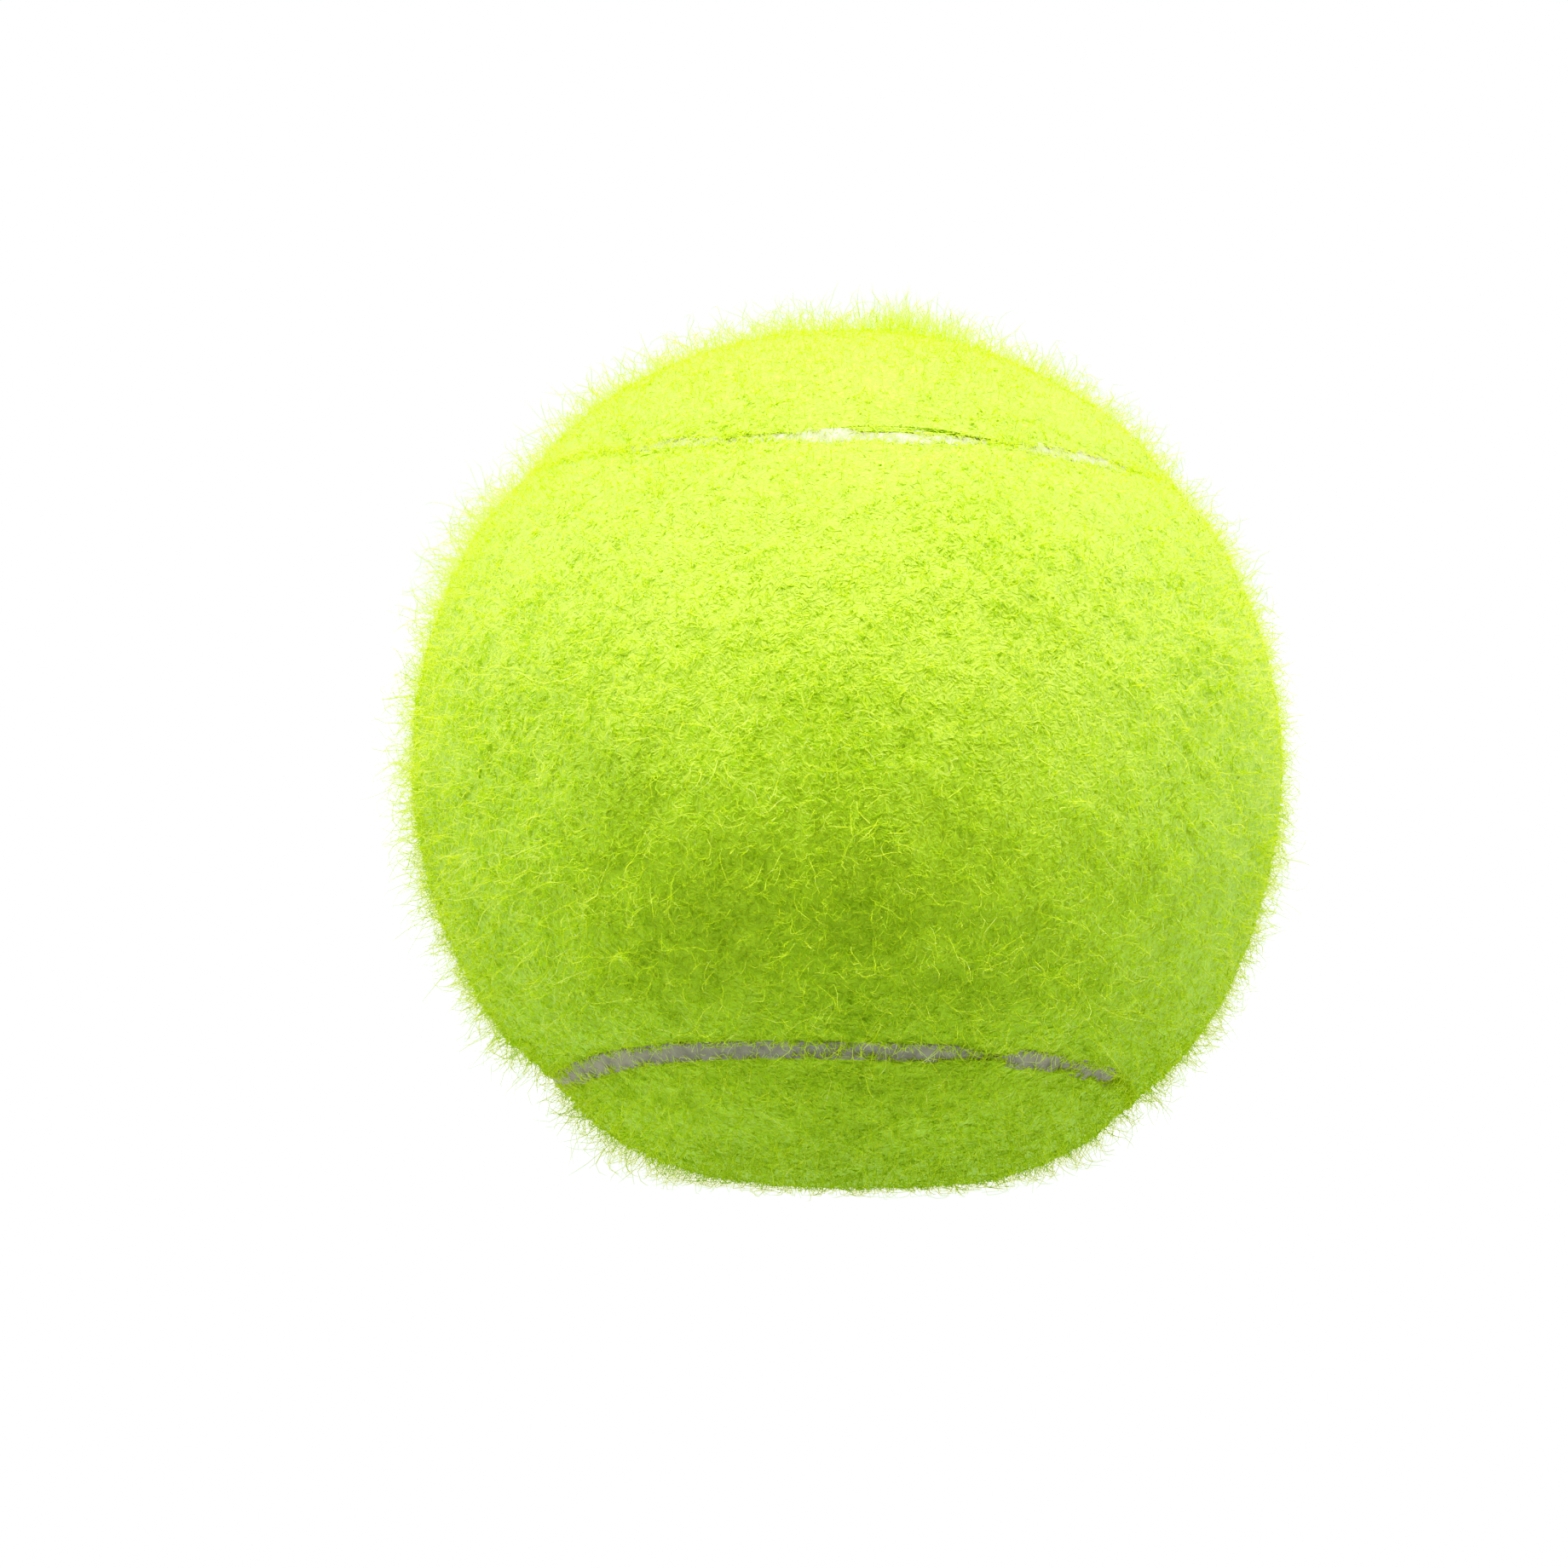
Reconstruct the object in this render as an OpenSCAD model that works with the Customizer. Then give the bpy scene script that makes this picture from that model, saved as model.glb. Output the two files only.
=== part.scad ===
// Pressurised tennis ball: a hollow rubber core of two moulded halves under two felt
// panels, with a pale cement seam between them.
// Origin at the centre of the ball, +Z up as it rests, -Y towards the viewer.
// All sizes are in millimetres.

/* [Ball] */
// Diameter over the felt
ball_d = 67; // [60:0.5:76]
// How far the nap is pressed flat where the ball rests
rest_press = 1.3; // [0.6:0.1:1.8]

/* [Rubber core] */
// Wall of the two moulded half shells
core_wall = 3.3; // [2.4:0.1:4.5]
// Cement film between the rims of the half shells
rim_film = 0.2; // [0.1:0.05:0.4]
// Rubber coat laid over the joined core
core_coat = 0.2; // [0.1:0.05:0.4]

/* [Felt cover] */
// Thickness of the woven felt with its nap
felt_t = 3; // [2.4:0.1:3.6]
// Rubber backing spread on the underside of the felt
backing_t = 0.3; // [0.15:0.05:0.6]
// Turn of the cover about the upright axis, in degrees
cover_turn = 9.2; // [-20:0.1:20]
// Lean of the cover away from upright, in degrees
cover_lean = 79.5; // [70:0.1:90]
// Spin of the cover about its own axis, in degrees
cover_spin = 42.5; // [36:0.1:50]

/* [Seam] */
// Width of the cement between the two panels
seam_w = 2; // [1.2:0.1:3.2]
// How far the cement lies below the face of the felt
seam_drop = 0.9; // [0.4:0.1:1.6]
// How strongly the seam curls round the ends of each panel
seam_curl_share = 0.3; // [0.26:0.01:0.4]
// How far the seam swings to each side of its middle circle
seam_swing_share = 0.72; // [0.64:0.01:0.82]
// How far the cover was laid off centre
seam_drift_share = -0.13; // [-0.2:0.01:0]

/* [Hidden] */
$fn = 180;
ball_r = ball_d / 2;
felt_inner_r = ball_r - felt_t;
coat_r = felt_inner_r - backing_t;
core_r = coat_r - core_coat;
core_inner_r = core_r - core_wall;
seam_r = ball_r - seam_drop;
rest_z = rest_press - ball_r;

// Straight steps along the closed seam, in eighths of its length
seam_steps = 8 * 12;
// Angle either side of a seam point over which its direction is read
probe_angle = 0.5;
// Reach of the cutting cones beyond the ball
cone_reach_share = 2.2;
cone_reach = cone_reach_share * ball_r;
// Place along the seam where each panel's first end lies
end_step_a = seam_steps * 7 / 8;
end_step_b = seam_steps / 8;

function unit(v) = v / norm(v);

// Direction from the centre of the ball to the seam, for an angle that runs once round it
function even_seam(angle) = unit([
    cos(angle) + seam_curl_share * cos(3 * angle),
    sin(angle) - seam_curl_share * sin(3 * angle),
    seam_swing_share * sin(2 * angle)
]);
function seam(angle) = unit(even_seam(angle) + seam_drift_share * unit([1, 1, 0]));

// Direction across the seam, towards the first panel
function across_seam(angle) =
    unit(cross(seam(angle), seam(angle + probe_angle) - seam(angle - probe_angle)));

// Side 1 is the edge of the first panel, and side -1 the edge of the second
function panel_edge(angle, side) =
    unit(ball_r * seam(angle) + side * seam_w / 2 * across_seam(angle));

// The whole edge of one panel, thrown out from the centre of the ball to a given reach
function panel_rim(reach, side) =
    [for (step = [0:seam_steps - 1]) reach * panel_edge(360 * step / seam_steps, side)];

// Step number kept within one turn of the seam
function wrap(step) = (step + seam_steps) % seam_steps;

// A triangle of the first panel, or its reverse for the second, which lies on the other hand
function facing(side, face) = side > 0 ? face : [face[2], face[1], face[0]];

// The two triangles between neighbouring steps of one ring of points and of the next
function band_facet(ring, step, rings) =
    let (
        near = ring * seam_steps,
        far = (ring + 1) % rings * seam_steps,
        next = wrap(step + 1)
    )
    [[near + step, far + step, far + next], [near + step, far + next, near + next]];

// Turns the cover from its own upright axis to the way it lies on the ball
module as_laid() {
    rotate([cover_lean, 0, cover_turn])
    rotate([0, 0, cover_spin])
    children();
}

// Cone from the centre of the ball through one panel's edge. Its lid joins the two long
// edges of the panel with strips, from one end of the panel to the other.
module panel_cone(side, end_step) {
    half = seam_steps / 2;
    apex = [0, 0, 0];
    walls = [for (step = [0:seam_steps - 1]) [step, seam_steps, wrap(step + 1)]];
    lid_left = [for (j = [0:half - 2])
        [wrap(end_step + j), wrap(end_step + j + 1), wrap(end_step - j - 1)]];
    lid_right = [for (j = [1:half - 1])
        [wrap(end_step + j), wrap(end_step - j - 1), wrap(end_step - j)]];
    faces = [for (face = concat(walls, lid_left, lid_right)) facing(side, face)];
    as_laid()
    polyhedron(points = concat(panel_rim(cone_reach, side), [apex]), faces = faces);
}

module cone_a() {
    panel_cone(1, end_step_a);
}

module cone_b() {
    panel_cone(-1, end_step_b);
}

// Closed wedge-shaped band between the two panels' edges. It starts inside the core and
// reaches beyond the ball.
module seam_band() {
    rings = [
        panel_rim(core_inner_r, 1), panel_rim(cone_reach, 1),
        panel_rim(cone_reach, -1), panel_rim(core_inner_r, -1)
    ];
    faces = [
        for (ring = [0:len(rings) - 1], step = [0:seam_steps - 1])
        each band_facet(ring, step, len(rings))
    ];
    as_laid()
    polyhedron(points = [for (ring = rings) each ring], faces = faces);
}

module shell(outer_r, inner_r) {
    difference() {
        sphere(r = outer_r);
        sphere(r = inner_r);
    }
}

// Everything below the face that the ball rests on
module below_rest() {
    translate([-ball_r, -ball_r, rest_z - ball_d])
    cube(ball_d);
}

// A block over the upper half of the ball, from a height above its middle
module above(height) {
    translate([-ball_r, -ball_r, height])
    cube(ball_d);
}

module core_half_top() {
    color("dimgray")
    intersection() {
        shell(core_r, core_inner_r);
        above(rim_film / 2);
    }
}

module core_half_bottom() {
    color("dimgray")
    mirror([0, 0, 1])
    intersection() {
        shell(core_r, core_inner_r);
        above(rim_film / 2);
    }
}

module core_rim_cement() {
    color("silver")
    intersection() {
        shell(core_r, core_inner_r);
        translate([0, 0, -rim_film / 2])
        cylinder(r = ball_r, h = rim_film);
    }
}

module core_coat() {
    color("darkgray")
    shell(coat_r, core_r);
}

module panel_backing_a() {
    color("khaki")
    intersection() {
        shell(felt_inner_r, coat_r);
        cone_a();
    }
}

module panel_backing_b() {
    color("khaki")
    intersection() {
        shell(felt_inner_r, coat_r);
        cone_b();
    }
}

module felt_panel_a() {
    color("greenyellow")
    difference() {
        intersection() {
            shell(ball_r, felt_inner_r);
            cone_a();
        }
        below_rest();
    }
}

module felt_panel_b() {
    color("yellowgreen")
    difference() {
        intersection() {
            shell(ball_r, felt_inner_r);
            cone_b();
        }
        below_rest();
    }
}

module seam_cement() {
    color("lightgray")
    intersection() {
        shell(seam_r, coat_r);
        seam_band();
    }
}

core_half_top();
core_half_bottom();
core_rim_cement();
core_coat();
panel_backing_a();
panel_backing_b();
felt_panel_a();
felt_panel_b();
seam_cement();
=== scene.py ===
"""Looks of a pressurised tennis ball that rests on a pale floor.

Two felt panels with a matted nap cover the ball, and a pale cement seam parts them. The
felt, the cement and the nap are meshes made here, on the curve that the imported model's
seam follows. Lengths are in metres: a size given in millimetres is multiplied by MM.
"""

import math

import bpy
import numpy as np
from mathutils import Matrix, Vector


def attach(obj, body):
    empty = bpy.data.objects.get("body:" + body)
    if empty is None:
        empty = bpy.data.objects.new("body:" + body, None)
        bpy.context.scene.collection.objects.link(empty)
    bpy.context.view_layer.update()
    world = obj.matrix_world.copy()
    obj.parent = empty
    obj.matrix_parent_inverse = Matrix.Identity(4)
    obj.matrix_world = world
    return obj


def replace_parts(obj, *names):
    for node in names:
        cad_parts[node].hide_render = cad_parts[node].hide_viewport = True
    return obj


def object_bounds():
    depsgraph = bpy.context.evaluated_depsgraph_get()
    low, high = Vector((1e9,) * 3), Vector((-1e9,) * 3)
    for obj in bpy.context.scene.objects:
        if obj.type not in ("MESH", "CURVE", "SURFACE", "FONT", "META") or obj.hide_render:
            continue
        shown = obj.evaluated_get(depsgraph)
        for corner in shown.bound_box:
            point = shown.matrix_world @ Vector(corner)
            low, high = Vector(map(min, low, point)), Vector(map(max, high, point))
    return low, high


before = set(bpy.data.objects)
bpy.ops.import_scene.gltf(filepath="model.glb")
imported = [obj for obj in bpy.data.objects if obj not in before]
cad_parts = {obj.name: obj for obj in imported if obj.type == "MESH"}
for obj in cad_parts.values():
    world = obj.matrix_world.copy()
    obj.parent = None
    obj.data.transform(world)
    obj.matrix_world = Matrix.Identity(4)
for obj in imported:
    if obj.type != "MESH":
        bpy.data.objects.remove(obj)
cad_low, cad_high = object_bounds()

MM = 0.001

# Lay of the seam on the ball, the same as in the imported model
COVER_TURN, COVER_LEAN, COVER_SPIN = 9.2, 79.5, 42.5
SEAM_CURL_SHARE, SEAM_SWING_SHARE, SEAM_DRIFT_SHARE = 0.3, 0.72, -0.13
SEAM_W = 2 * MM
PROBE_SHARE = 0.5 / 360
END_SHARE = {"a": 7 / 8, "b": 1 / 8}
SIDE = {"a": 1, "b": -1}


def points_of(mesh):
    """The points of a mesh, a row for each."""
    spots = np.empty(3 * len(mesh.vertices), np.float32)
    mesh.vertices.foreach_get("co", spots)
    return spots.reshape(-1, 3).astype(float)


def reach(node):
    """How far a node of the frame goes from the centre of the ball."""
    return float(np.linalg.norm(points_of(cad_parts[node].data), axis=1).max())


BALL_R = reach("felt_panel_a")
CEMENT_R = reach("seam_cement")
FELT_INNER_R = reach("panel_backing_a")
COAT_R = reach("core_coat")
REST_Z = cad_low.z

# Felt under the nap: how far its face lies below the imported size, and its relief
NAP_DEPTH = 0.3 * MM
LUMP_H, LUMP_SIZE = 0.14 * MM, 8 * MM
CLUMP_H, CLUMP_SIZE = 0.09 * MM, 2.2 * MM
CALM_EDGE = 1 * MM
PIT_H, PIT_SIZE, PIT_LEAST = 0.06 * MM, 0.9 * MM, 0.1

# Felt near its cut edge: how far it falls away, which is less where the nap covers the seam,
# and how the edge frays
SHOULDER_DROP, SHOULDER_W = 0.65 * MM, 3 * MM
COVERED_RISE_SHARE = 0.3
EDGE_ROUND = 0.08 * MM
EDGE_OVERHANG = 0.1 * MM
EDGE_RAG, EDGE_RAG_SIZE = 0.22 * MM, 1.4 * MM
EDGE_FINE_RAG_SHARE, EDGE_FINE_RAG_SIZE = 0.6, EDGE_RAG_SIZE / 3
EDGE_NEAREST = 0.05 * MM
WALL_SINK = 0.8 * MM

# Where the ball rests, and its crown
PRESS_SOFTNESS = 0.6 * MM
PRESS_REACH = 4 * PRESS_SOFTNESS
CROWN_DROP = 0.35 * MM

# Mesh of a felt panel: rows run from edge to edge, a little wider apart near the tips, and
# columns along the panel, closer together near the edges
ROWS, COLUMNS, UNDER_COLUMNS = 480, 196, 8
ROW_EVENING_SHARE = 0.25
COLUMN_CROWDING_SHARE = 0.4

# Cement in the seam: it climbs at its sides, and narrows where the nap covers it
CEMENT_STEPS, CEMENT_COLUMNS = 1400, 8
CEMENT_GAP = 0.01 * MM
CEMENT_NARROWING_SHARE = 0.5
CEMENT_RISE, CEMENT_CLIMB = 0.04 * MM, 0.04 * MM
CEMENT_GRAIN, CEMENT_GRAIN_SIZE = 0.08 * MM, 0.9 * MM

# Samples of the seam that distances are measured from, and directions measured at a time
SEAM_SAMPLES, DIRECTIONS_AT_A_TIME = 1536, 20000


def unit(v):
    """Vectors of length 1 that point the same way."""
    return v / np.linalg.norm(v, axis=-1, keepdims=True)


AS_LAID = np.array(
    Matrix.Rotation(math.radians(COVER_TURN), 3, "Z")
    @ Matrix.Rotation(math.radians(COVER_LEAN), 3, "X")
    @ Matrix.Rotation(math.radians(COVER_SPIN), 3, "Z")
)


def seam(share):
    """Directions to the middle of the seam, for shares of one turn along it."""
    a = 2 * np.pi * np.asarray(share)
    even = np.stack(
        [
            np.cos(a) + SEAM_CURL_SHARE * np.cos(3 * a),
            np.sin(a) - SEAM_CURL_SHARE * np.sin(3 * a),
            SEAM_SWING_SHARE * np.sin(2 * a),
        ],
        axis=-1,
    )
    drifted = unit(even) + SEAM_DRIFT_SHARE * unit(np.array([1.0, 1.0, 0.0]))
    return unit(drifted) @ AS_LAID.T


def across_seam(share):
    """Directions across the seam, towards the first panel."""
    along = seam(share + PROBE_SHARE) - seam(share - PROBE_SHARE)
    return unit(np.cross(seam(share), along))


def beside_seam(share, offset):
    """Directions to points at a signed distance from the middle of the seam."""
    offset = np.reshape(offset, np.shape(offset) + (1,))
    return unit(BALL_R * seam(share) + offset * across_seam(share))


sample_share = np.arange(SEAM_SAMPLES) / SEAM_SAMPLES
sample_seam, sample_across = seam(sample_share), across_seam(sample_share)


def from_seam(directions):
    """Distance from the middle of the seam, above zero on the first panel, and the place there."""
    found, places = [], []
    for part in np.array_split(directions, 1 + len(directions) // DIRECTIONS_AT_A_TIME):
        nearest = (part @ sample_seam.T).argmax(axis=1)
        found.append(np.einsum("ij,ij->i", part, sample_across[nearest]))
        places.append(sample_share[nearest])
    distance = BALL_R * np.arcsin(np.clip(np.concatenate(found), -1, 1))
    return distance, np.concatenate(places)


# Whole numbers that mix a cell and a seed into what looks random
CELL_FACTORS, SEED_FACTOR = (73856093, 19349663, 83492791), 2654435761
MIXING, LAST_SHIFT = ((16, 2246822519), (13, 3266489917)), 16
WORD = 2**32
# Keeps the cells of the noise above zero
FIRST_CELL = 1000


def scattered(cells, seed):
    """A repeatable number from 0 to 1 for each whole-numbered cell."""
    mixed = np.full(len(cells), seed * SEED_FACTOR % WORD, np.uint32)
    for k, factor in enumerate(CELL_FACTORS):
        mixed ^= cells[:, k].astype(np.uint32) * np.uint32(factor)
    for shift, factor in MIXING:
        mixed = (mixed ^ (mixed >> np.uint32(shift))) * np.uint32(factor)
    return (mixed ^ (mixed >> np.uint32(LAST_SHIFT))) / WORD


def noise(spots, size, seed):
    """Smooth bumps of about the given size, from -1 to 1."""
    places = spots / size + FIRST_CELL
    cells = np.floor(places).astype(np.int64)
    part = places - cells
    # Rises from 0 to 1 with no slope or bend at either end
    eased = part**3 * (part * (part * 6 - 15) + 10)
    total = np.zeros(len(spots))
    for corner in np.ndindex(2, 2, 2):
        weight = np.where(corner, eased, 1 - eased).prod(axis=1)
        total += weight * scattered(cells + corner, seed)
    return 2 * total - 1


# Stretches of the seam that the nap lies over: middle and half length, as shares of the
# seam, and how wholly the nap hides the cement there
COVERED_SHARES = (
    (0.125, 0.055, 0.5),
    (0.05, 0.027, 0.95),
    (0.1065, 0.005, 0.9),
    (0.091, 0.011, 0.3),
    (0.125, 0.004, 0.3),
    (0.14, 0.005, 0.25),
    (0.213, 0.04, 0.92),
    (0.204, 0.005, 0.7),
    (0.605, 0.03, 0.2),
    (0.6465, 0.007, 0.65),
    (0.675, 0.015, 0.3),
    (0.725, 0.03, 1.0),
)
COVERED_FLATNESS = 4
STRAY_COVER_SHARE, STRAY_COVER_SIZE = 0.2, 9 * MM


def covered(share):
    """How wholly the nap hides the cement at places along the seam, from 0 to 1."""
    share = np.asarray(share) % 1
    strays = noise(BALL_R * seam(share), STRAY_COVER_SIZE, seed=51)
    total = STRAY_COVER_SHARE * np.clip(strays, 0, 1)
    for middle, half, amount in COVERED_SHARES:
        near = np.exp(-(((share - middle) / half) ** COVERED_FLATNESS))
        total = total * (1 - near) + amount * near
    return np.clip(total, 0, 1)


def relief(directions):
    """Lumps, clumps and pits of the felt, as heights."""
    spots = BALL_R * directions
    lumps = LUMP_H * noise(spots, LUMP_SIZE, seed=1)
    clumps_and_pit_shade = CLUMP_H * noise(spots, CLUMP_SIZE, seed=2)
    pits = PIT_H * np.clip(noise(spots, PIT_SIZE, seed=3) - PIT_LEAST, 0, None)
    return lumps + clumps_and_pit_shade - pits


# Where the ball's outline stands off a true sphere: azimuth, latitude and spread in degrees,
# and height. Azimuth is 0 at the front and 90 at the right.
SWELLS = (
    (90, -54, 26, 1.35 * MM),
    (90, 22, 24, -0.2 * MM),
    (-90, -52, 24, 0.65 * MM),
)


def facing_way(azimuth, latitude):
    """Direction at an azimuth and a latitude in degrees."""
    a, b = math.radians(azimuth), math.radians(latitude)
    return np.array([math.sin(a) * math.cos(b), -math.cos(a) * math.cos(b), math.sin(b)])


def figure(directions):
    """How far the ball stands off a true sphere: its swells and its slightly flat crown."""
    height = -CROWN_DROP * np.clip(directions[:, 2], 0, 1) ** 2
    for azimuth, latitude, spread, swell in SWELLS:
        away = np.degrees(np.arccos(np.clip(directions @ facing_way(azimuth, latitude), -1, 1)))
        height = height + swell * np.exp(-((away / spread) ** 2))
    return height


def shoulder(inset, place):
    """How far the felt falls away towards its cut edge."""
    inset = np.clip(inset, 0, None)
    corner = np.clip(EDGE_ROUND - inset, 0, None)
    rounding = EDGE_ROUND - np.sqrt(EDGE_ROUND**2 - corner**2)
    drop = SHOULDER_DROP * (1 - COVERED_RISE_SHARE * covered(place))
    return drop * np.exp(-((inset / SHOULDER_W) ** 2)) + rounding


def felt_radius(directions, inset, place):
    """Distance of the felt's face from the centre, at a distance in from its edge."""
    calm = np.exp(-((inset / CALM_EDGE) ** 2))
    base = BALL_R - NAP_DEPTH + figure(directions) + (1 - calm) * relief(directions)
    return base - shoulder(inset, place)


def pressed(spots):
    """Flattens what would lie below the floor, with a soft bend round the flat."""
    above = spots[..., 2] - REST_Z
    lifted = 0.5 * (above + np.sqrt(above**2 + PRESS_SOFTNESS**2))
    out = spots.copy()
    low = spots[..., 2] < REST_Z + PRESS_REACH
    out[..., 2] = np.where(low, REST_Z + lifted, spots[..., 2])
    return out


def edge_offset(share, side):
    """Distance of a panel's ragged upper edge from the middle of the seam."""
    spots = BALL_R * seam(share)
    coarse = noise(spots, EDGE_RAG_SIZE, seed=10 + side)
    fine = noise(spots, EDGE_FINE_RAG_SIZE, seed=13 + side)
    open_half = (SEAM_W / 2 - EDGE_OVERHANG) * (1 - covered(share))
    rag = EDGE_RAG * (coarse + EDGE_FINE_RAG_SHARE * fine)
    return np.maximum(open_half + rag, EDGE_NEAREST)


def arcs(start, end, shares):
    """Points on the great circles from each start to its end."""
    angle = np.arccos(np.clip(np.einsum("ij,ij->i", start, end), -1, 1))[:, None, None]
    s = shares[None, :, None]
    return (
        np.sin((1 - s) * angle) * start[:, None] + np.sin(s * angle) * end[:, None]
    ) / np.sin(angle)


def make_piece(name, spots, quads, triangles, materials, wears=None):
    """A mesh object that rides on the ball, from arrays of points and faces."""
    mesh = bpy.data.meshes.new(name)
    mesh.vertices.add(len(spots))
    mesh.vertices.foreach_set("co", np.asarray(spots, np.float32).ravel())
    corners = np.concatenate([quads.ravel(), triangles.ravel()]).astype(np.int32)
    starts = np.concatenate(
        [4 * np.arange(len(quads)), quads.size + 3 * np.arange(len(triangles))]
    ).astype(np.int32)
    mesh.loops.add(len(corners))
    mesh.loops.foreach_set("vertex_index", corners)
    mesh.polygons.add(len(starts))
    mesh.polygons.foreach_set("loop_start", starts)
    for material in materials:
        mesh.materials.append(material)
    if wears is not None:
        mesh.polygons.foreach_set("material_index", wears.astype(np.int32))
    mesh.update(calc_edges=True)
    mesh.validate()
    piece = bpy.data.objects.new(name, mesh)
    bpy.context.scene.collection.objects.link(piece)
    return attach(piece, "root")


def grid_quads(ids):
    """Quads between neighbouring rows and columns of a grid of point numbers."""
    return np.stack(
        [ids[:-1, :-1], ids[:-1, 1:], ids[1:, 1:], ids[1:, :-1]], axis=-1
    ).reshape(-1, 4)


def fan(tip, row):
    """Triangles from a tip to a row of points."""
    return np.stack([np.full(len(row) - 1, tip), row[:-1], row[1:]], axis=-1)


def panel_rows():
    """How far along the seam from a panel's end each row starts, as shares of the seam."""
    t = np.arange(1, ROWS) / ROWS
    evened = 0.5 + np.arcsin(2 * t - 1) / np.pi
    return 0.5 * ((1 - ROW_EVENING_SHARE) * t + ROW_EVENING_SHARE * evened)


def panel_columns():
    """Places of the columns across a row, from 0 to 1."""
    k = np.arange(COLUMNS + 1) / COLUMNS
    return k - COLUMN_CROWDING_SHARE * np.sin(2 * np.pi * k) / (2 * np.pi)


def panel_face(side, end, along):
    """The face of a panel, row by row and then its two tips: directions, and points."""
    columns, tips = panel_columns(), np.array([end, end + 0.5])
    first, second, tip_face = (
        beside_seam(share, side * edge_offset(share, side))
        for share in (end + along, end - along, tips)
    )
    directions = np.concatenate([arcs(first, second, columns).reshape(-1, 3), tip_face])
    share_of = np.repeat(along, len(columns))
    near_first = np.tile(columns < 0.5, len(along))
    nearer = np.where(near_first, end + share_of, end - share_of)
    own_edge = edge_offset(np.concatenate([nearer, tips]), side)
    distance, place = from_seam(directions)
    radius = felt_radius(directions, side * distance - own_edge, place)
    return directions, pressed(directions * radius[:, None])


def closed(one, other, ends):
    """The way round a panel's edge: along one side, past a tip and back along the other."""
    return np.concatenate([ends[:1], one, ends[1:], other[::-1], ends[:1]])


def panel_faces(rows):
    """Quads and triangles of a panel: its face, the wall of its edge and its underside."""
    face_ids = np.arange(rows * (COLUMNS + 1)).reshape(rows, -1)
    tip_ids = face_ids.size + np.arange(2)
    ring_start, ring_size = face_ids.size + 2, 2 * rows + 2

    def ring(level):
        start = ring_start + level * ring_size
        sides = start + np.arange(2 * rows).reshape(2, -1)
        return sides[0], sides[1], start + 2 * rows + np.arange(2)

    rings = [(face_ids[:, 0], face_ids[:, -1], tip_ids), ring(0), ring(1)]
    under_first, under_second, under_tips = rings[-1]
    inside = ring_start + 2 * ring_size + np.arange(rows * (UNDER_COLUMNS - 1))
    under_ids = np.column_stack([under_first, inside.reshape(rows, -1), under_second])
    loops = np.stack([closed(*sides) for sides in rings])
    quads = np.concatenate(
        [grid_quads(face_ids)[:, ::-1], grid_quads(loops), grid_quads(under_ids)]
    )
    triangles = np.concatenate(
        [
            fan(tip_ids[0], face_ids[0][::-1]),
            fan(tip_ids[1], face_ids[-1]),
            fan(under_tips[0], under_ids[0]),
            fan(under_tips[1], under_ids[-1][::-1]),
        ]
    )
    return quads, triangles


def felt_panel(letter, material):
    """One felt panel: its face, its cut edge and its underside, as one closed mesh."""
    side, end, along = SIDE[letter], END_SHARE[letter], panel_rows()
    rows = len(along)
    directions, top = panel_face(side, end, along)
    around = np.concatenate([end + along, end - along, [end, end + 0.5]])
    wall = beside_seam(around, np.full(len(around), side * SEAM_W / 2))
    under_columns = np.arange(1, UNDER_COLUMNS) / UNDER_COLUMNS
    under = arcs(wall[:rows], wall[rows : 2 * rows], under_columns).reshape(-1, 3)
    spots = np.concatenate(
        [top, wall * (CEMENT_R - WALL_SINK), wall * FELT_INNER_R, under * FELT_INNER_R]
    )
    quads, triangles = panel_faces(rows)
    if side < 0:
        quads, triangles = quads[:, ::-1], triangles[:, ::-1]
    piece = make_piece(f"felt_cover_{letter}", spots, quads, triangles, [material])
    tone = np.full(len(spots), HIDDEN_TONE)
    tone[: len(directions)] = felt_tone(directions)
    attribute = piece.data.attributes.new("felt_tone", "FLOAT", "POINT")
    attribute.data.foreach_set("value", tone.astype(np.float32))
    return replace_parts(piece, f"felt_panel_{letter}")


# Dull patches of the nap: azimuth and latitude in degrees, size and depth, which is below zero
# where the nap is brighter. The last one, round the bottom, is painted shade where the ball rests.
PATCHES_AND_FOOT_SHADE = (
    (-33, 0, 2.6 * MM, 0.8),
    (-28, -3, 2.4 * MM, 0.9),
    (-33, -7, 4 * MM, 0.3),
    (1, -14, 7 * MM, 0.35),
    (13, -8, 3.5 * MM, 0.35),
    (-16, -17, 4.5 * MM, 0.95),
    (-5, -33, 9 * MM, -0.35),
    (4, -17, 3 * MM, 0.5),
    (18, 7, 2.5 * MM, 0.35),
    (150, 20, 5 * MM, 0.4),
    (-120, -15, 6 * MM, 0.4),
    # Painted shade: the nap darkens round the bottom, where the ball meets the floor
    (0, -90, 13 * MM, 2.5),
)
# Tone of the nap between the patches, its clouds by strength, size and seed, and the tone of
# what the face of the felt hides
TONE_MIDDLE = 0.52
TONE_CLOUDS = ((0.2, 7 * MM, 21), (0.2, 2.2 * MM, 22))
HIDDEN_TONE = 0.5
# Painted shade: the nap's colour varies more below, for the rougher shading there
LIVELIER_BELOW_SHARE = 0.5


def liveliness(directions):
    """How strongly the nap's colour varies: the least at the top, the most below, as painted
    shade for the rougher shading of the lower half.
    """
    return 1 - LIVELIER_BELOW_SHARE * directions[:, 2]


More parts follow.
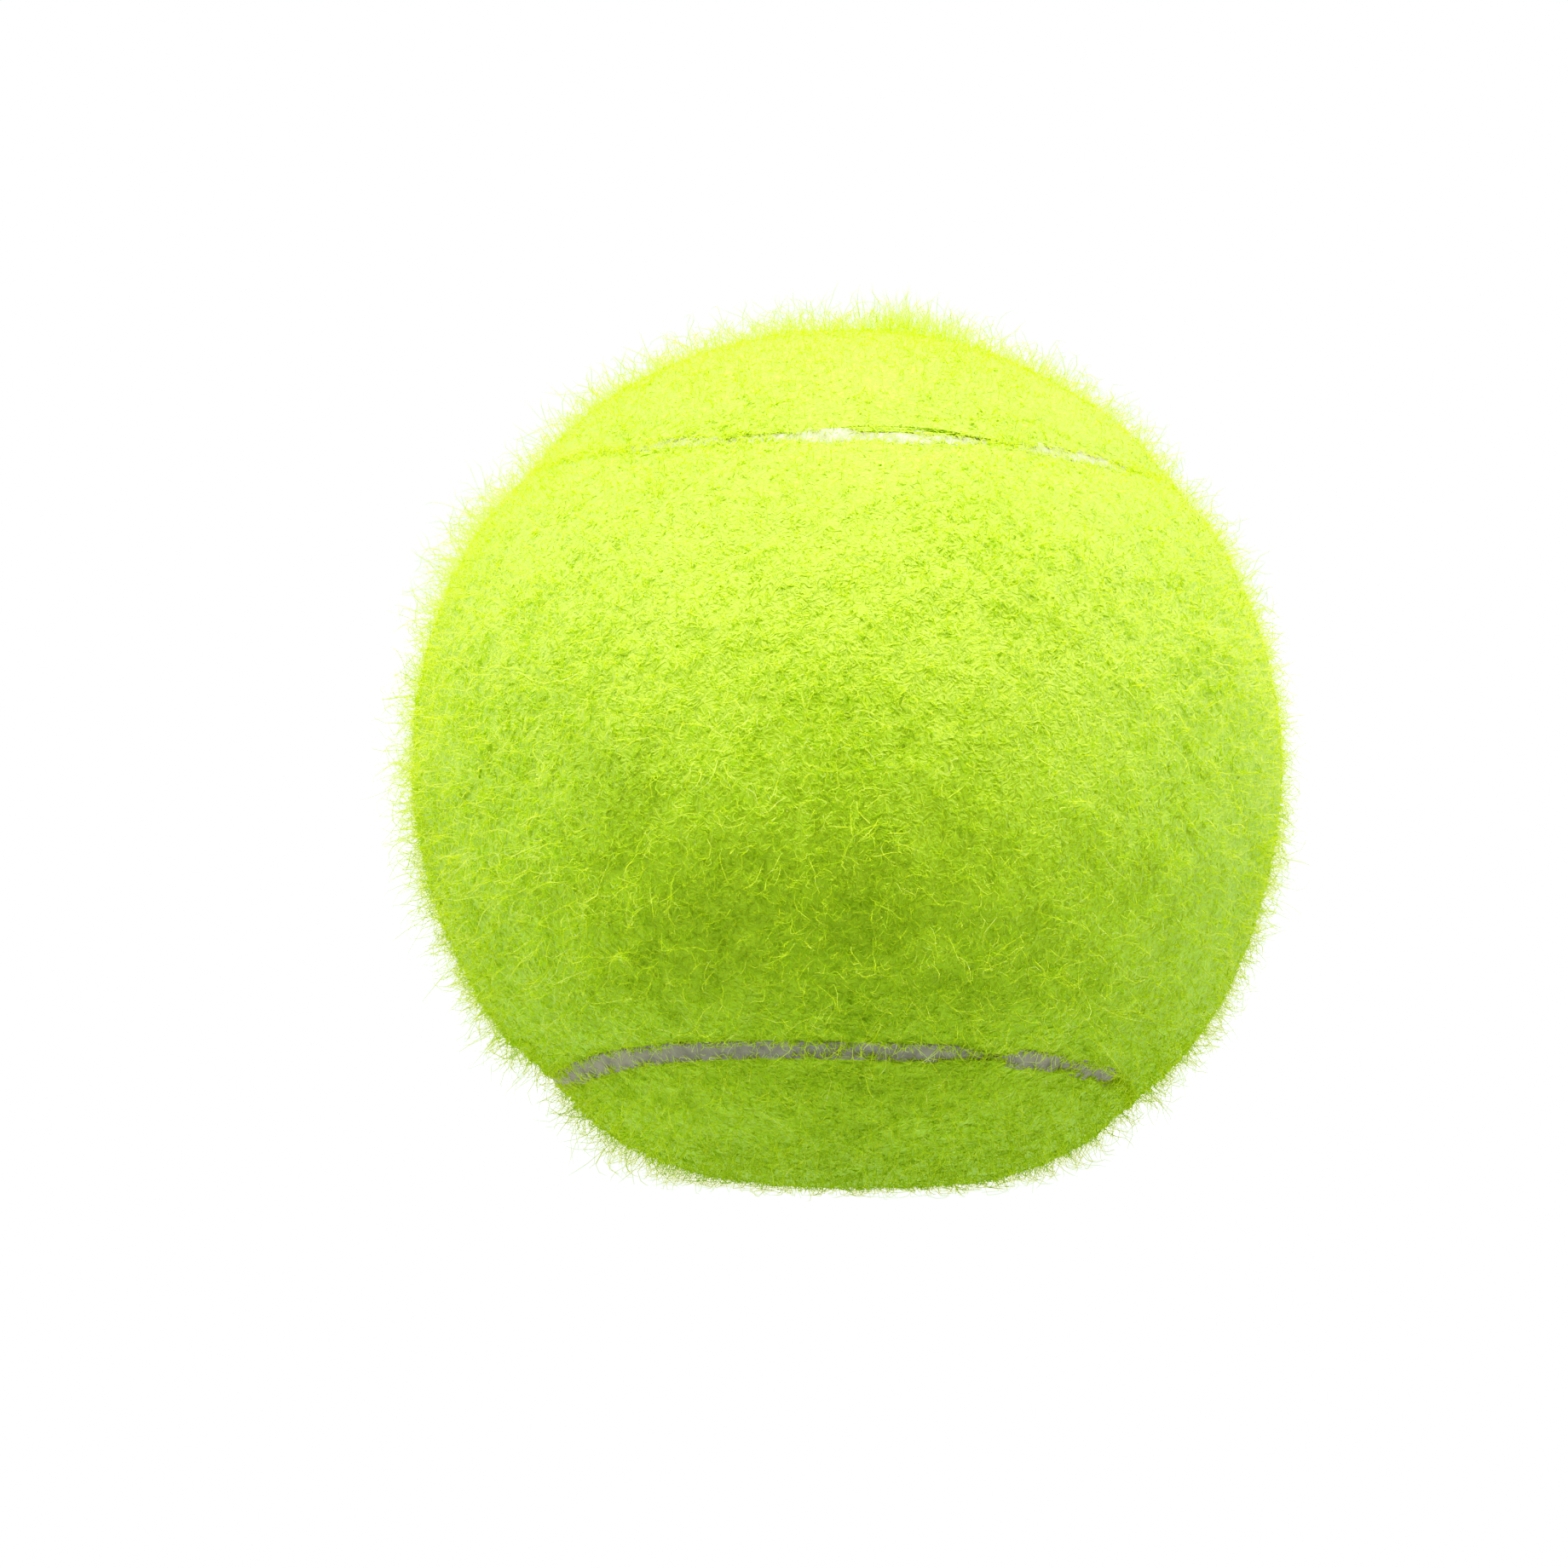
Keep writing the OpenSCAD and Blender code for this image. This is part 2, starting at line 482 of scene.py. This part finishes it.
def felt_tone(directions):
    """From about 0, deep and dull, to about 1, bright: clouds and patches over the cover,
    and painted shade round the bottom, where the ball rests.
    """
    spots = BALL_R * directions
    clouds = sum(strength * noise(spots, size, seed) for strength, size, seed in TONE_CLOUDS)
    tone = TONE_MIDDLE + liveliness(directions) * clouds
    for azimuth, latitude, size, depth in PATCHES_AND_FOOT_SHADE:
        away = np.linalg.norm(spots - BALL_R * facing_way(azimuth, latitude), axis=1)
        tone -= depth * np.exp(-((away / size) ** 2))
    return tone


def cement_seam(material):
    """The cement, as one closed band that fills the gap between the panels."""
    share = np.arange(CEMENT_STEPS) / CEMENT_STEPS
    half_w = SEAM_W / 2 - CEMENT_GAP
    across = np.tile(np.linspace(-1, 1, CEMENT_COLUMNS + 1), CEMENT_STEPS)
    share_grid = np.repeat(share, CEMENT_COLUMNS + 1)
    offset_grid = half_w * (1 - CEMENT_NARROWING_SHARE * covered(share_grid)) * across
    directions = beside_seam(share_grid, offset_grid)
    grain = CEMENT_GRAIN * noise(BALL_R * directions, CEMENT_GRAIN_SIZE, seed=31)
    climb = CEMENT_CLIMB * across**2
    height = CEMENT_R + CEMENT_RISE - CEMENT_GRAIN + grain + climb + figure(directions)
    top = directions * height[:, None]
    bottom = directions * COAT_R
    wide = CEMENT_COLUMNS + 1
    top_ids = np.arange(len(top)).reshape(-1, wide)
    bottom_ids = top_ids + len(top)
    around = np.concatenate([top_ids, bottom_ids[:, ::-1], top_ids[:, :1]], axis=1)
    around = np.concatenate([around, around[:1]])
    spots = pressed(np.concatenate([top, bottom]))
    quads = grid_quads(around)
    empty = np.empty((0, 3), int)
    piece = make_piece("cement_line", spots, quads, empty, [material])
    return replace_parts(piece, "seam_cement")


# Nap: every fibre is a thin closed tube with three sides that tapers to a point
FIBRE_SIDES = 3
FIBRES_PER_PIECE = 7000
SEED = 7
# Fibres are longer on the left of the ball, and in tufts
LONGER_LEFT_SHARE, LONGER_TUFTS_SHARE, TUFTS_SIZE = 0.15, 0.25, 9 * MM
# Thickness along a fibre: place and radius, as shares
TAPER_SHARES = ((0, 0.8), (0.3, 1), (0.6, 1), (1, 0.65))
# Radius of the thinnest and the thickest fibre, as shares of its kind's radius
RADIUS_SHARES = (0.75, 1.25)
# A direction that no fibre has to stand along
ASLANT = np.array([0.31, 0.87, 0.38])


def centre_lines(rng, roots, normals, look, level=None):
    """Curled lines from the roots: each turns and falls evenly, with one wave on top.

    Headings are measured from the level directions, or else they swirl over the ball.
    """
    count = len(roots)
    swirl = np.zeros(count)
    if level is None:
        level = unit(np.cross(normals, ASLANT))
        swirl = np.pi * 2 * noise(roots, look["swirl_size"], seed=41)
    other = np.cross(normals, level)
    heading = swirl + look["wander"] * rng.standard_normal(count)
    turn = look["turn"] * rng.standard_normal(count)
    kink = look["kink"] * rng.standard_normal((2, count))
    phase = rng.uniform(0, 2 * np.pi, count)
    rise = rng.uniform(*look["rise"], count)
    fall = rng.uniform(*look["fall"], count)
    length = rng.uniform(0, 1, count) ** look["length_power"]
    length = look["shortest"] + (look["longest"] - look["shortest"]) * length
    tufts = noise(roots, TUFTS_SIZE, seed=61)
    length *= 1 - LONGER_LEFT_SHARE * normals[:, 0] + LONGER_TUFTS_SHARE * tufts
    lines = [roots - look["sunk"] * normals]
    for k in range(look["segments"]):
        s = (k + 0.5) / look["segments"]
        wave = np.sin(2 * np.pi * s + phase)
        angle = heading + turn * s + kink[0] * wave
        tilt = np.radians(rise + (fall - rise) * s) + kink[1] * wave
        flat = np.cos(angle)[:, None] * level + np.sin(angle)[:, None] * other
        step = np.cos(tilt)[:, None] * flat + np.sin(tilt)[:, None] * normals
        lines.append(lines[-1] + (length / look["segments"])[:, None] * step)
    lines = np.stack(lines, axis=1)
    lines[..., 2] = np.maximum(lines[..., 2], REST_Z + look["radius"])
    return lines


def tubes(lines, radius):
    """Points of the tubes round the lines: rings along each line, then its tip."""
    ahead = unit(np.diff(lines, axis=1))
    tangent = ahead.copy()
    tangent[:, 1:] = unit(ahead[:, 1:] + ahead[:, :-1])
    aside = unit(np.cross(tangent[:, 0], lines[:, 0]))
    segments = lines.shape[1] - 1
    taper = np.interp(np.linspace(0, 1, segments), *zip(*TAPER_SHARES))
    rings = []
    for k in range(segments):
        t = tangent[:, k]
        aside = unit(aside - np.einsum("ij,ij->i", aside, t)[:, None] * t)
        up = np.cross(t, aside)
        for corner in range(FIBRE_SIDES):
            a = 2 * np.pi * corner / FIBRE_SIDES
            out = math.cos(a) * aside + math.sin(a) * up
            rings.append(lines[:, k] + (taper[k] * radius)[:, None] * out)
    return np.stack([*rings, lines[:, -1]], axis=1)


def tube_faces(count, segments):
    """Quads and triangles of a number of tubes that follow one another."""
    tip = segments * FIBRE_SIDES
    ids = np.arange(tip).reshape(segments, FIBRE_SIDES)
    around = np.column_stack([ids, ids[:, 0]])
    quads = grid_quads(around)
    triangles = np.concatenate(
        [[ids[0][::-1]], np.stack([around[-1][:-1], around[-1][1:], np.full(3, tip)], axis=-1)]
    )
    start = (tip + 1) * np.arange(count)[:, None, None]
    return (start + quads).reshape(-1, 4), (start + triangles).reshape(-1, 3)


def fibre_piece(name, lines, radius, shade, materials):
    """One piece of the nap: a tube for each line, in its own shade."""
    quads, triangles = tube_faces(len(lines), lines.shape[1] - 1)
    per_fibre = [len(faces) // len(lines) for faces in (quads, triangles)]
    wears = np.concatenate([np.repeat(shade, count) for count in per_fibre])
    spots = tubes(lines, radius)
    spots[..., 2] = np.maximum(spots[..., 2], REST_Z)
    piece = make_piece(name, spots.reshape(-1, 3), quads, triangles, materials, wears)
    return piece


# How each kind of fibre grows. Rise and fall are angles over the felt in degrees, at the root
# and at the tip; wander, turn and kink are in radians.
CURLS = {
    "count": 100000,
    "segments": 4,
    "swirl_size": 3 * MM,
    "wander": 3,
    "turn": 3,
    "kink": 0.4,
    "rise": (15, 65),
    "fall": (-65, 5),
    "length_power": 1,
    "shortest": 0.4 * MM,
    "longest": 0.9 * MM,
    "sunk": 0.1 * MM,
    "radius": 0.038 * MM,
    "brighter": -0.05,
    "shade_spread": 0.2,
}
STRANDS = CURLS | {
    "count": 14000,
    "segments": 5,
    "rise": (30, 75),
    "fall": (-65, 0),
    "shortest": 0.6 * MM,
    "longest": 1.3 * MM,
    "radius": 0.038 * MM,
    "brighter": 0.05,
    "shade_spread": 0.25,
}
LOOSE = CURLS | {
    "count": 47000,
    "segments": 5,
    "swirl_size": 4 * MM,
    "wander": 1.5,
    "turn": 2.4,
    "kink": 0.7,
    "rise": (35, 88),
    "fall": (-25, 60),
    "length_power": 2.1,
    "shortest": 0.9 * MM,
    "longest": 4.4 * MM,
    "radius": 0.022 * MM,
    "brighter": -0.1,
    "shade_spread": 0.25,
}
STRAYS = LOOSE | {
    "count": 600,
    "segments": 7,
    "length_power": 2,
    "rise": (45, 85),
    "fall": (-20, 60),
    "shortest": 2.5 * MM,
    "longest": 5.5 * MM,
    "radius": 0.018 * MM,
    "shade_spread": 0.4,
}
FRINGE = CURLS | {
    "count": 15000,
    "wander": 0.9,
    "turn": 1.5,
    "rise": (5, 50),
    "fall": (-45, 0),
    "shortest": 0.4 * MM,
    "longest": 1.3 * MM,
    "radius": 0.03 * MM,
    "brighter": 0,
}
FRINGE_BAND, FRINGE_CROWDING = 0.6 * MM, 1.5
FRINGE_BARE_SHARE = 0.55
FRINGE_SAMPLES = 4 * SEAM_SAMPLES
TUFT = LOOSE | {
    "count": 260,
    "shortest": 2 * MM,
    "longest": 4.2 * MM,
    "rise": (60, 88),
    "fall": (20, 80),
    "shade_spread": 0.3,
}
TUFT_AZIMUTH, TUFT_LATITUDE, TUFT_SIZE = 80, 81.5, 1.8 * MM


def scatter(rng, count):
    """Directions spread evenly over the ball."""
    return unit(rng.standard_normal((count, 3)))


def scatter_tuft(rng, count):
    """Directions round the one place where the nap stands up in a tuft."""
    spread = TUFT_SIZE / BALL_R * rng.standard_normal((count, 3))
    return unit(facing_way(TUFT_AZIMUTH, TUFT_LATITUDE) + spread)


def scatter_fringe(rng, count):
    """Directions along the cut edges, the most where the nap covers the seam."""
    grid = np.linspace(0, 1, FRINGE_SAMPLES)
    weight = np.cumsum(FRINGE_BARE_SHARE + (1 - FRINGE_BARE_SHARE) * covered(grid))
    share = np.interp(rng.uniform(0, weight[-1], count), weight, grid)
    side = rng.choice([1, -1], count)
    inset = FRINGE_BAND * rng.uniform(0, 1, count) ** FRINGE_CROWDING
    edge = np.where(side > 0, edge_offset(share, 1), edge_offset(share, -1))
    return beside_seam(share, side * (edge + inset))


def rooted(directions):
    """Those of the directions that meet felt: with their roots, distances and places."""
    distance, place = from_seam(directions)
    edge = np.where(distance > 0, edge_offset(place, 1), edge_offset(place, -1))
    inset = np.abs(distance) - edge
    on_felt = inset > 0
    directions, distance, place, inset = (
        values[on_felt] for values in (directions, distance, place, inset)
    )
    roots = pressed(directions * felt_radius(directions, inset, place)[:, None])
    return directions, roots, distance, place


# Tones at which the nap turns from one shade to the next
SHADE_TONES = (0.0, 0.25, 0.6, 0.9)


def shades(rng, directions, look):
    """Which of the fibre materials each fibre wears: dull ones in dull patches, and round the
    bottom, where they paint the shade by the floor.
    """
    strewn = look["shade_spread"] * liveliness(directions) * rng.standard_normal(len(directions))
    return np.digitize(felt_tone(directions) + look["brighter"] + strewn, SHADE_TONES)


def nap(materials):
    """All the fibres, in pieces small enough to be kept whole."""
    rng = np.random.default_rng(SEED)
    kinds = (
        ("nap", CURLS, scatter),
        ("strands", STRANDS, scatter),
        ("fuzz", LOOSE, scatter),
        ("wisps", STRAYS, scatter),
        ("tuft", TUFT, scatter_tuft),
        ("fringe", FRINGE, scatter_fringe),
    )
    for kind, look, spread_over in kinds:
        directions, roots, distance, place = rooted(spread_over(rng, look["count"]))
        level = None
        if look is FRINGE:
            towards = -np.sign(distance)[:, None] * across_seam(place)
            level = unit(np.cross(np.cross(directions, towards), directions))
        lines = centre_lines(rng, roots, directions, look, level)
        radius = look["radius"] * rng.uniform(*RADIUS_SHARES, len(lines))
        shade = shades(rng, directions, look)
        for letter, side in SIDE.items():
            own = np.flatnonzero(side * distance > 0)
            count = math.ceil(len(own) / FIBRES_PER_PIECE)
            for k, part in enumerate(np.array_split(own, max(count, 1))[:count], 1):
                fibre_piece(
                    f"{kind}_{letter}_{k}", lines[part], radius[part], shade[part], materials
                )


class Nodes:
    """Short names for making one material's nodes."""

    def __init__(self, name):
        self.material = bpy.data.materials.new(name)
        self.material.use_nodes = True
        self.tree = self.material.node_tree
        self.shader = self.tree.nodes["Principled BSDF"]
        self.place = self.tree.nodes.new("ShaderNodeTexCoord").outputs["Object"]

    def add(self, kind, **values):
        """A node, with its settings and its sockets given by name."""
        node = self.tree.nodes.new(kind)
        for name, value in values.items():
            if hasattr(node, name):
                setattr(node, name, value)
            else:
                node.inputs[name.replace("_", " ").title()].default_value = value
        return node

    def link(self, source, target):
        self.tree.links.new(source, target)

    def noise(self, size, detail=2.0, distortion=0.0):
        """Soft noise with bumps of about the given size, drawn out into streaks when distorted."""
        node = self.add("ShaderNodeTexNoise", scale=1 / size, detail=detail, distortion=distortion)
        self.link(self.place, node.inputs["Vector"])
        return node.outputs["Fac"]

    def ramp(self, source, stops):
        """Colours for a value, from a list of places and colours."""
        node = self.add("ShaderNodeValToRGB")
        elements = node.color_ramp.elements
        while len(elements) < len(stops):
            elements.new(0.5)
        for element, (position, colour) in zip(elements, stops):
            element.position = position
            element.color = (*colour, 1)
        self.link(source, node.inputs["Fac"])
        return node.outputs["Color"]

    def mix(self, kind, share, first, second):
        """Mixes two colours, each a socket or a colour."""
        node = self.add("ShaderNodeMix", data_type="RGBA", blend_type=kind)
        for socket, value in ((0, share), (6, first), (7, second)):
            if isinstance(value, bpy.types.NodeSocket):
                self.link(value, node.inputs[socket])
            elif isinstance(value, tuple):
                node.inputs[socket].default_value = (*value, 1)
            else:
                node.inputs[socket].default_value = value
        return node.outputs[2]

    def bump(self, source, depth, strength=1.0):
        """Fine relief from a height, on the shader's normal."""
        node = self.add("ShaderNodeBump", strength=strength, distance=depth)
        self.link(source, node.inputs["Height"])
        self.link(node.outputs["Normal"], self.shader.inputs["Normal"])

    def finish(self, **sockets):
        """Sets or links the shader's sockets, and gives the material."""
        for name, value in sockets.items():
            socket = self.shader.inputs[name.replace("_", " ").title().replace("Ior", "IOR")]
            if isinstance(value, bpy.types.NodeSocket):
                self.link(value, socket)
            else:
                colour = isinstance(value, tuple) and socket.type == "RGBA"
                socket.default_value = (*value, 1) if colour else value
        return self.material


# Shades of the nap, from its dullest to its brightest
DULL = (0.28, 0.49, 0.018)
DEEP = (0.34, 0.57, 0.02)
LIME = (0.47, 0.76, 0.035)
PALE = (0.51, 0.8, 0.048)
GOLD = (0.57, 0.85, 0.09)


def felt_material():
    """Dense felt under the nap: lime clumps, paler on their crests and darker, as painted
    shade, in the pits between them, and dimmed by the felt's tone, which paints shade round
    the bottom.
    """
    n = Nodes("felt_lime")
    tone = n.add("ShaderNodeAttribute", attribute_name="felt_tone").outputs["Fac"]
    matted = n.noise(0.7 * MM, detail=3, distortion=2.5)
    # Painted shade: the colour follows the bump, darker in its hollows
    clumps_and_pit_shade = n.ramp(matted, [(0.3, DEEP), (0.5, LIME), (0.7, PALE)])
    # Partly painted shade: the felt's tone darkens round the bottom, where the ball rests
    tone_and_foot_shade = n.ramp(tone, [(0.1, (0.7, 0.75, 0.6)), (0.7, (1, 1, 1))])
    colour = n.mix("MULTIPLY", 0.4, clumps_and_pit_shade, tone_and_foot_shade)
    n.bump(matted, depth=0.3 * MM)
    roughness = n.ramp(n.noise(0.6 * MM), [(0.3, (0.8,) * 3), (0.7, (0.98,) * 3)])
    return n.finish(
        base_color=colour,
        roughness=roughness,
        sheen_weight=0.1,
        specular_ior_level=0.1,
    )


def fibre_material(name, colour):
    """One shade of the nap's fibres, with glints that come and go along them."""
    n = Nodes(name)
    glint = n.ramp(n.noise(0.5 * MM), [(0.4, (0.0,) * 3), (0.7, (0.1,) * 3)])
    return n.finish(
        base_color=colour,
        roughness=0.55,
        specular_ior_level=glint,
        subsurface_weight=1.0,
        subsurface_radius=(1.0, 1.0, 0.15),
        subsurface_scale=0.07 * MM,
    )


# Painted shade on the lower half of the seam, which fades out between these heights about the
# middle
LOWER_SEAM_SHADE, SHADE_FADE_HEIGHT = (0.62, 0.6, 0.72), 12 * MM


def cement_material():
    """Dry rubber cement with flecks and a grain: grey white, with painted shade on the lower half.
    """
    n = Nodes("cement_grey")
    cloudy = n.noise(0.9 * MM, detail=5)
    greys = [(0.3, (0.3, 0.31, 0.12)), (0.5, (0.44, 0.45, 0.2)), (0.7, (0.52, 0.53, 0.28))]
    flecks = n.ramp(cloudy, greys)
    split = n.add("ShaderNodeSeparateXYZ")
    n.link(n.place, split.inputs[0])
    height = n.add("ShaderNodeMapRange", from_min=-SHADE_FADE_HEIGHT, from_max=SHADE_FADE_HEIGHT)
    n.link(split.outputs["Z"], height.inputs["Value"])
    # Painted shade: the cement is darker towards the bottom of the seam
    painted_shade = n.ramp(height.outputs[0], [(0, LOWER_SEAM_SHADE), (1, (1, 1, 1))])
    colour = n.mix("MULTIPLY", 1.0, flecks, painted_shade)
    n.bump(n.noise(0.2 * MM, detail=3), depth=0.08 * MM)
    return n.finish(base_color=colour, roughness=0.8, specular_ior_level=0.3)


def rubber_material(name, dark, light, roughness):
    """Moulded rubber with faint cloudy colour and a fine grain."""
    n = Nodes(name)
    colour = n.ramp(n.noise(4 * MM, detail=4), [(0.35, dark), (0.65, light)])
    n.bump(n.noise(0.4 * MM, detail=3), depth=0.03 * MM, strength=0.6)
    return n.finish(base_color=colour, roughness=roughness)


def wear(node, material):
    """Gives a node of the frame its material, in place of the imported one."""
    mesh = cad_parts[node].data
    mesh.materials.clear()
    mesh.materials.append(material)


def inner_pieces():
    """Finishes of what the cover hides."""
    core = rubber_material("core_rubber", (0.03, 0.03, 0.032), (0.055, 0.054, 0.052), 0.75)
    film = rubber_material("rim_cement", (0.3, 0.26, 0.2), (0.42, 0.38, 0.3), 0.6)
    coat = rubber_material("coat_rubber", (0.2, 0.19, 0.17), (0.3, 0.28, 0.25), 0.8)
    backing = rubber_material("backing_rubber", (0.42, 0.38, 0.2), (0.55, 0.5, 0.3), 0.85)
    for node in ("core_half_top", "core_half_bottom"):
        wear(node, core)
    wear("core_rim_cement", film)
    wear("core_coat", coat)
    for node in ("panel_backing_a", "panel_backing_b"):
        wear(node, backing)


# Camera and studio, in the photograph's frame
PHOTO_SIDE = 1840
BALL_X, BALL_Y = 995, 892
BALL_RADIUS_PIXELS = 514
CAMERA_ELEVATION = 2
CAMERA_DISTANCE = 14 * BALL_R
SENSOR = 36


def camera():
    """Looks at the middle of the ball from its front, at the photograph's framing."""
    tan_ball = math.tan(math.asin(BALL_R / CAMERA_DISTANCE))
    tan_frame = tan_ball * PHOTO_SIDE / 2 / BALL_RADIUS_PIXELS
    data = bpy.data.cameras.new("camera")
    data.sensor_width = SENSOR
    data.lens = SENSOR / 2 / tan_frame
    data.shift_x = (PHOTO_SIDE / 2 - BALL_X) / PHOTO_SIDE
    data.shift_y = (BALL_Y - PHOTO_SIDE / 2) / PHOTO_SIDE
    item = bpy.data.objects.new("camera", data)
    tilt = math.radians(CAMERA_ELEVATION)
    item.location = (0, -CAMERA_DISTANCE * math.cos(tilt), CAMERA_DISTANCE * math.sin(tilt))
    item.rotation_euler = (math.pi / 2 - tilt, 0, 0)
    bpy.context.scene.collection.objects.link(item)
    bpy.context.scene.camera = item


def sun(name, azimuth, elevation, strength, spread, colour=(1, 1, 1)):
    """A wide soft lamp far away. Azimuth 0 is at the camera's side and 90 is to its right."""
    data = bpy.data.lights.new(name, "SUN")
    data.energy = strength
    data.color = colour
    data.angle = math.radians(spread)
    item = bpy.data.objects.new(name, data)
    item.rotation_euler = (math.radians(90 - elevation), 0, math.radians(azimuth))
    bpy.context.scene.collection.objects.link(item)


# The least light in each channel that the picture shows as pure white
WHITE = (1.5, 1.3, 1.0)
FLOOR_SIDE = 8


def floor():
    """A pale floor under the ball, which shines evenly and so shows no shadow."""
    half = FLOOR_SIDE / 2
    mesh = bpy.data.meshes.new("floor")
    signs = ((-1, -1), (1, -1), (1, 1), (-1, 1))
    corners = [(x * half, y * half, REST_Z) for x, y in signs]
    mesh.from_pydata(corners, [], [(0, 1, 2, 3)])
    n = Nodes("floor_pale")
    colour = n.ramp(n.noise(60 * MM), [(0.4, (0.05,) * 3), (0.6, (0.06,) * 3)])
    n.finish(
        base_color=colour,
        roughness=0.9,
        specular_ior_level=0.0,
        emission_color=WHITE,
        emission_strength=1.0,
    )
    mesh.materials.append(n.material)
    item = bpy.data.objects.new("floor", mesh)
    item.visible_diffuse = False
    item.visible_shadow = False
    bpy.context.scene.collection.objects.link(item)


# How strongly the surroundings light the ball from below
FLOOR_FILL = 1.35
# Light from above is a little warm, and light off the floor takes some of the ball's own colour
WARM, LIME_TINGED = (1.08, 0.98, 1), (0.95, 1.05, 0.9)


def surroundings():
    """Lights the ball from below, as a pale floor does, and shows as a white backdrop."""
    world = bpy.data.worlds.new("studio")
    world.use_nodes = True
    bpy.context.scene.world = world
    tree = world.node_tree
    background = tree.nodes["Background"]
    background.inputs["Color"].default_value = (*LIME_TINGED, 1)
    place = tree.nodes.new("ShaderNodeTexCoord").outputs["Generated"]
    split = tree.nodes.new("ShaderNodeSeparateXYZ")
    tree.links.new(place, split.inputs[0])

    def math_node(operation, first, second):
        node = tree.nodes.new("ShaderNodeMath")
        node.operation = operation
        for socket, value in zip(node.inputs, (first, second)):
            if isinstance(value, bpy.types.NodeSocket):
                tree.links.new(value, socket)
            else:
                socket.default_value = value
        return node.outputs[0]

    below = math_node("MINIMUM", split.outputs["Z"], 0)
    tree.links.new(math_node("MULTIPLY", below, -FLOOR_FILL), background.inputs["Strength"])
    backdrop = tree.nodes.new("ShaderNodeBackground")
    backdrop.inputs["Color"].default_value = (*WHITE, 1)
    seen = tree.nodes.new("ShaderNodeLightPath").outputs["Is Camera Ray"]
    chosen = tree.nodes.new("ShaderNodeMixShader")
    tree.links.new(seen, chosen.inputs["Fac"])
    tree.links.new(background.outputs[0], chosen.inputs[1])
    tree.links.new(backdrop.outputs[0], chosen.inputs[2])
    tree.links.new(chosen.outputs[0], tree.nodes["World Output"].inputs["Surface"])


# Light in the scene and light in the picture: red and green are soft at their bright end,
# and blue, which is faint all over the ball, at its dark end
SOFT_RED = (
    (0.5, 0.5),
    (0.65, 0.63),
    (0.8, 0.74),
    (0.95, 0.8),
    (1.1, 0.84),
    (1.25, 0.875),
    (1.4, 0.93),
    (1.5, 1),
)
SOFT_GREEN = ((0.5, 0.5), (0.7, 0.69), (0.8, 0.765), (0.95, 0.855), (1.1, 0.935), (1.3, 1))
FAINT_BLUE = (
    (0.02, 0.01),
    (0.027, 0.015),
    (0.032, 0.02),
    (0.037, 0.03),
    (0.043, 0.045),
    (0.05, 0.06),
    (0.06, 0.08),
    (0.075, 0.107),
    (0.09, 0.138),
    (0.1, 0.15),
    (0.16, 0.2),
    (0.3, 0.32),
    (1, 1),
)


def tone_curve():
    """Gives the picture the soft highlights and deep colour of a photograph."""
    view = bpy.context.scene.view_settings
    view.view_transform = "Standard"
    view.use_curve_mapping = True
    mapping = view.curve_mapping
    mapping.use_clip = False
    mapping.extend = "HORIZONTAL"
    for channel, stops in enumerate((SOFT_RED, SOFT_GREEN, FAINT_BLUE)):
        points = mapping.curves[channel].points
        points[-1].location = stops[-1]
        for light, shown in stops[:-1]:
            points.new(light, shown)
    mapping.update()


tone_curve()
camera()
surroundings()
sun("key", azimuth=-5, elevation=74, strength=5.6, spread=70, colour=WARM)
sun("top", azimuth=0, elevation=85, strength=5.3, spread=70, colour=WARM)
sun("left", azimuth=-95, elevation=5, strength=2.0, spread=70)
sun("right", azimuth=95, elevation=0, strength=1.6, spread=70)
floor()
inner_pieces()
felt = felt_material()
for panel_letter in SIDE:
    felt_panel(panel_letter, felt)
cement_seam(cement_material())
nap(
    [
        fibre_material("fibre_dull", DULL),
        fibre_material("fibre_deep", DEEP),
        fibre_material("fibre_lime", LIME),
        fibre_material("fibre_pale", PALE),
        fibre_material("fibre_gold", GOLD),
    ]
)
